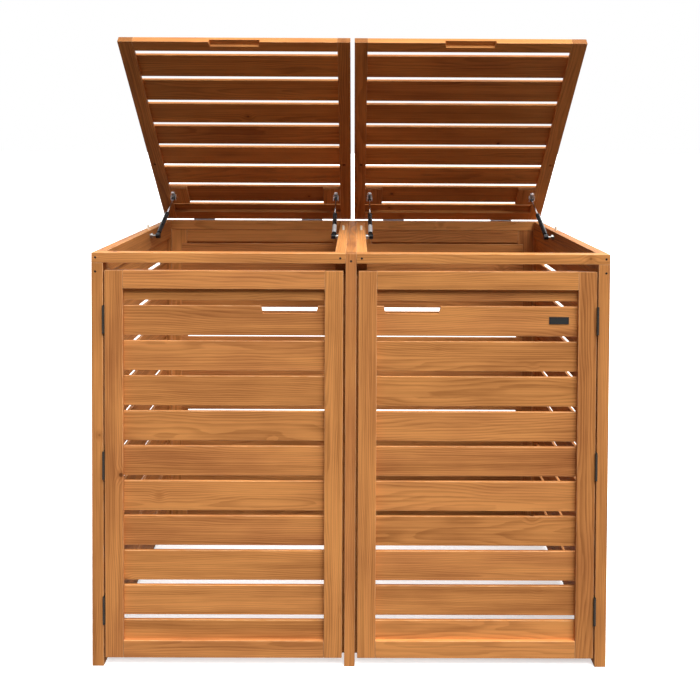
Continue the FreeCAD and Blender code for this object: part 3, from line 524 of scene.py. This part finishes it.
def stain(look, log, late, streak, fibre):
    """The uneven stain: deeper in late wood and streaks, and on some boards pinker."""
    tone = look.attribute("board_tone")["Fac"]
    band = look.pattern(log, *BANDS)["Fac"]
    patch = look.pattern(log, *PATCHES)["Fac"]
    streaked = look.remap(streak, *PATTERN_SPAN, *STREAK_DEPTH)
    depth = look.math("MULTIPLY_ADD", late, LATE_WOOD_DEPTH, streaked)
    for part, reach in ((fibre, FIBRE_DEPTH), (band, BAND_DEPTH), (patch, PATCH_DEPTH)):
        depth = look.math("ADD", depth, look.remap(part, *PATTERN_SPAN, *reach))
    depth = look.math("ADD", depth, look.remap(tone, 0.0, 1.0, *TONE_DEPTH))
    depth = look.remap(depth, 0.0, 1.0, 0.0, 1.0)
    base = look.mix(depth, colour(*STAIN_LIGHT), colour(*STAIN_DARK))
    pink = look.math("FRACT", look.math("MULTIPLY", tone, PINK_SHUFFLE))
    pink = look.math("MULTIPLY", pink, look.remap(patch, *PINK_SPAN, *PINK_SHARE))
    return look.mix(pink, base, look.mix(1.0, base, PINK_SHIFT, "MULTIPLY"))


def edge_inset(look):
    """(distance to the nearest long edge, distance to the nearest end) of a board."""
    place = look.attribute("board_place")["Vector"]
    half = look.attribute("board_half")["Vector"]
    inset = look.split(look.vector("SUBTRACT", half, look.vector("ABSOLUTE", place)))
    low_pair = look.math("MINIMUM", inset[0], inset[1])
    high_pair = look.math("MAXIMUM", inset[0], inset[1])
    return look.math("MAXIMUM", low_pair, look.math("MINIMUM", high_pair, inset[2])), inset[0]


def worn_and_highlit_edges(look, log, base):
    """Edges a little lighter, partly from wear and partly a painted highlight where they catch the
    light, and dark ends, where end grain drinks the stain.
    """
    to_edge, to_end = edge_inset(look)
    wear_and_highlight = look.pattern(log, *EDGE_WEAR_AND_HIGHLIGHT)["Fac"]
    near_edge = look.remap(to_edge, *WORN_AND_HIGHLIGHT_REACH, 1.0, 0.0, True)
    worn_and_highlit = look.math("MULTIPLY", near_edge, look.remap(wear_and_highlight, *WORN_AND_HIGHLIGHT_SPAN, *WORN_AND_HIGHLIGHT_SHARE))
    # Lighter edges: partly wear, partly a painted highlight
    base = look.mix(worn_and_highlit, base, colour(*WORN_EDGE_AND_HIGHLIGHT))
    return look.mix(look.remap(to_end, *END_REACH, END_SHARE, 0.0, True), base, colour(*END_GRAIN))


def stained_wood():
    """Brown-stained softwood: rings, fibres, knots, uneven stain, dark ends, and lighter edges that
    are partly wear and partly a painted highlight.
    """
    look = Look("wood_brown_stain")
    log = look.attribute("log_place")["Vector"]
    knot, halo, push = knots(look, log)
    late = rings(look, log, push)
    streak = look.pattern(log, *STREAKS)["Fac"]
    fibre = look.pattern(log, *FIBRES)["Fac"]

    base = stain(look, log, late, streak, fibre)
    base = look.mix(look.math("MULTIPLY", halo, HALO_SHARE), base, colour(*HALO_BROWN))
    base = look.mix(look.math("MULTIPLY", knot, KNOT_SHARE), base, colour(*KNOT_BROWN))
    look.set(Base_Color=worn_and_highlit_edges(look, log, base), Specular_IOR_Level=WOOD_SPECULAR)

    dull = look.math("ADD", late, streak)
    look.set(Roughness=look.remap(dull, *WOOD_GLOSS_SPAN, *WOOD_ROUGHNESS))
    relief = look.math("MULTIPLY_ADD", streak, STREAK_RELIEF, fibre)
    relief = look.math("MULTIPLY_ADD", late, RING_RELIEF, relief)
    sunk = look.math("MULTIPLY", knot, KNOT_RELIEF)
    look.bump(look.math("SUBTRACT", relief, sunk), *WOOD_BUMP)
    return look.material


# ---------------------------------------------------------------------------------------------
# Metal, paint and plastic


def metal_skin(look, rough, metallic=1.0):
    """Uneven gloss and fine scratches. Gives back the clouds that stains follow."""
    place = look.object_place()
    cloud = look.noise(place, *METAL_CLOUDS)["Fac"]
    scratch = look.pattern(place, *METAL_SCRATCHES)["Fac"]
    look.set(Roughness=look.remap(look.math("ADD", cloud, scratch), *METAL_GLOSS_SPAN, *rough))
    look.set(Metallic=metallic)
    look.bump(look.math("MULTIPLY_ADD", scratch, SCRATCH_RELIEF, cloud), *METAL_BUMP)
    return cloud


def metal(name, tint, rough, metallic=1.0, dirt_share=DIRT_SHARE):
    """(look, base colour) of a metal with soft stains."""
    look = Look(name)
    cloud = metal_skin(look, rough, metallic)
    dirt = look.remap(cloud, *DIRT_SPAN, 0.0, dirt_share, True)
    base = look.mix(dirt, colour(*tint), colour(*METAL_DIRT))
    look.set(Base_Color=base)
    return look, base


def zinc():
    """Bright plated steel with the faint crystals of its coat."""
    look = Look("zinc_plate")
    metal_skin(look, ZINC_ROUGHNESS)
    crystal = look.split(look.cells(look.object_place(), ZINC_CRYSTALS)["Color"])[0]
    share = look.remap(crystal, 0.0, 1.0, 0.0, ZINC_CRYSTAL_SHARE)
    look.set(Base_Color=look.mix(share, colour(*ZINC_LIGHT), colour(*ZINC_DARK)))
    return look


def moulded(name, tint, rubbed_tint, rough):
    """(look, base colour) of a painted or moulded surface."""
    look = Look(name)
    place = look.object_place()
    cloud = look.noise(place, *MOULDED_CLOUDS)["Fac"]
    rubbed = look.remap(cloud, *RUBBED_SPAN, 0.0, RUBBED_SHARE, True)
    base = look.mix(rubbed, colour(*tint), colour(*rubbed_tint))
    look.set(Base_Color=base, Specular_IOR_Level=MOULDED_SPECULAR)
    look.set(Roughness=look.remap(cloud, *MOULDED_GLOSS_SPAN, *rough))
    look.bump(look.noise(place, *MOULDED_SKIN)["Fac"], *MOULDED_BUMP)
    return look, base


def strut_span(node, axis):
    """Lowest and highest place of a node along the struts' axis."""
    along = [v.co @ axis for v in node.data.vertices]
    return min(along), max(along)


def strut_tube_look(name, axis, band):
    """Black lacquer, with a plain grey band between two places along the axis, if it has one."""
    look, black = moulded(name, *TUBE_BLACK)
    if band:
        low, high = band
        along = look.dot(look.object_place(), axis)
        above = look.math("GREATER_THAN", along, low)
        below = look.math("LESS_THAN", along, high)
        cloud = look.noise(look.object_place(), *BAND_CLOUDS)["Fac"]
        grey = look.mix(cloud, *[colour(*tint) for tint in BAND_GREYS])
        look.set(Base_Color=look.mix(look.math("MULTIPLY", above, below), black, grey))
    return look


def strut_rod_look(name, axis, rod_end):
    """Bright rod below rod_end along the axis, black rod end beyond it."""
    look, steel = metal(name, *ROD_STEEL, dirt_share=ROD_DIRT_SHARE)
    black = look.math("GREATER_THAN", look.dot(look.object_place(), axis), rod_end)
    look.set(Base_Color=look.mix(black, steel, colour(*ROD_END_BLACK)))
    look.set(Metallic=look.math("SUBTRACT", 1.0, black))
    return look


# ---------------------------------------------------------------------------------------------
# Floor, light and camera


def floor_paper():
    """White to whoever looks at it, with the shadow on it, and dark to the light that it returns."""
    look = Look("floor_paper")
    grain = look.noise(look.object_place(), *FLOOR_GRAIN)["Fac"]
    seen = look.looked_at()
    paper = look.mix(grain, *[colour(*tint) for tint in FLOOR_GREYS])
    look.set(Base_Color=look.mix(seen, FLOOR_BOUNCE, paper))
    look.set(Roughness=FLOOR_ROUGHNESS, Specular_IOR_Level=FLOOR_SPECULAR)
    look.set(Emission_Color=WHITE, Emission_Strength=look.math("MULTIPLY", seen, FLOOR_GLOW))
    look.bump(grain, *FLOOR_BUMP)
    return look.material


def make_floor():
    """A wide plain floor under the lowest point of the store."""
    low = CAD_BOX[0].z
    signs = ((-1, -1), (1, -1), (1, 1), (-1, 1))
    corners = [(x * FLOOR_REACH, y * FLOOR_REACH, low) for x, y in signs]
    mesh = bpy.data.meshes.new("floor")
    mesh.from_pydata(corners, [], [(0, 1, 2, 3)])
    mesh.materials.append(floor_paper())
    floor = bpy.data.objects.new("floor", mesh)
    bpy.context.scene.collection.objects.link(floor)


def make_world():
    """White to whoever looks at it, and a weak even sky to everything else."""
    world = bpy.data.worlds.new("studio")
    bpy.context.scene.world = world
    world.use_nodes = True
    sky = Nodes(world.node_tree)
    background = world.node_tree.nodes["Background"].inputs
    sky.put(background["Color"], WHITE)
    sky.put(background["Strength"], sky.remap(sky.looked_at(), 0.0, 1.0, WORLD_LEVEL, 1.0))


def make_suns():
    """A soft key from the front right and a weak fill from behind."""
    for name, (level, height, side) in SUNS.items():
        data = bpy.data.lights.new(name, "SUN")
        data.energy = level
        data.angle = SUN_SOFTNESS
        sun = bpy.data.objects.new(name, data)
        reach = math.cos(height)
        toward = Vector((math.sin(side) * reach, -math.cos(side) * reach, math.sin(height)))
        sun.rotation_euler = toward.to_track_quat("Z", "Y").to_euler()
        bpy.context.scene.collection.objects.link(sun)


def make_camera():
    """The photo's camera."""
    data = bpy.data.cameras.new("camera")
    data.lens = CAMERA_LENS
    data.shift_x, data.shift_y = CAMERA_SHIFT
    camera = bpy.data.objects.new("camera", data)
    turn = Matrix.Translation(CAMERA_PLACE)
    for angle, axis in ((CAMERA_YAW, "Z"), (CAMERA_TILT, "X"), (CAMERA_ROLL, "Z")):
        turn = turn @ Matrix.Rotation(angle, 4, axis)
    camera.matrix_world = turn
    bpy.context.scene.collection.objects.link(camera)
    bpy.context.scene.camera = camera


# ---------------------------------------------------------------------------------------------
# Every node gets its look


def slot_looks():
    """The look of each material slot that is neither wood nor a strut's."""
    return {
        "dark_steel": metal("hinge_steel", *HINGE_STEEL, HINGE_STEEL_METALLIC)[0],
        "zinc": zinc(),
        "black_plate": moulded("plate_black", *PLATE_BLACK)[0],
        "black_plastic": moulded("plastic_black", *PLASTIC_BLACK)[0],
        "clear_plastic": moulded("plastic_cream", *PLASTIC_CREAM)[0],
    }


def strut_look(name, node, axis):
    """The look of a strut's cylinder or rod. The inner struts' cylinders carry a band."""
    low, high = strut_span(node, axis)
    if name.startswith("strut_rod"):
        return strut_rod_look(f"{name}_steel", axis, high - ROD_END_LENGTH)
    band = [low + end for end in STRUT_BAND] if name.endswith("inner") else None
    return strut_tube_look(f"{name}_black", axis, band)


def paint(node, look):
    """Gives a carried-over CAD node its material."""
    node.data.materials.clear()
    node.data.materials.append(look.material)


def dress():
    """Gives every CAD node its look."""
    axis = Vector(joint(STRUT_JOINT)["axis"]).normalized()
    wood = stained_wood()
    slots = slot_looks()
    special = {STUDS: metal("stud_steel", *STUD_STEEL)[0]}
    special.update(dict.fromkeys(LID_HINGES, metal("hinge_zinc", *HINGE_ZINC)[0]))
    for name, node in sorted(frame["nodes"].items()):
        slot = node.active_material.name.split(".")[0]
        if slot == WOOD_SLOT:
            dress_boards(name, node, wood)
        elif name in special:
            paint(node, special[name])
        elif name.startswith(("strut_tube", "strut_rod")):
            paint(node, strut_look(name, node, axis))
        else:
            paint(node, slots[slot])


dress()
make_floor()
make_world()
make_suns()
make_camera()
bpy.context.scene.view_settings.view_transform = "Standard"
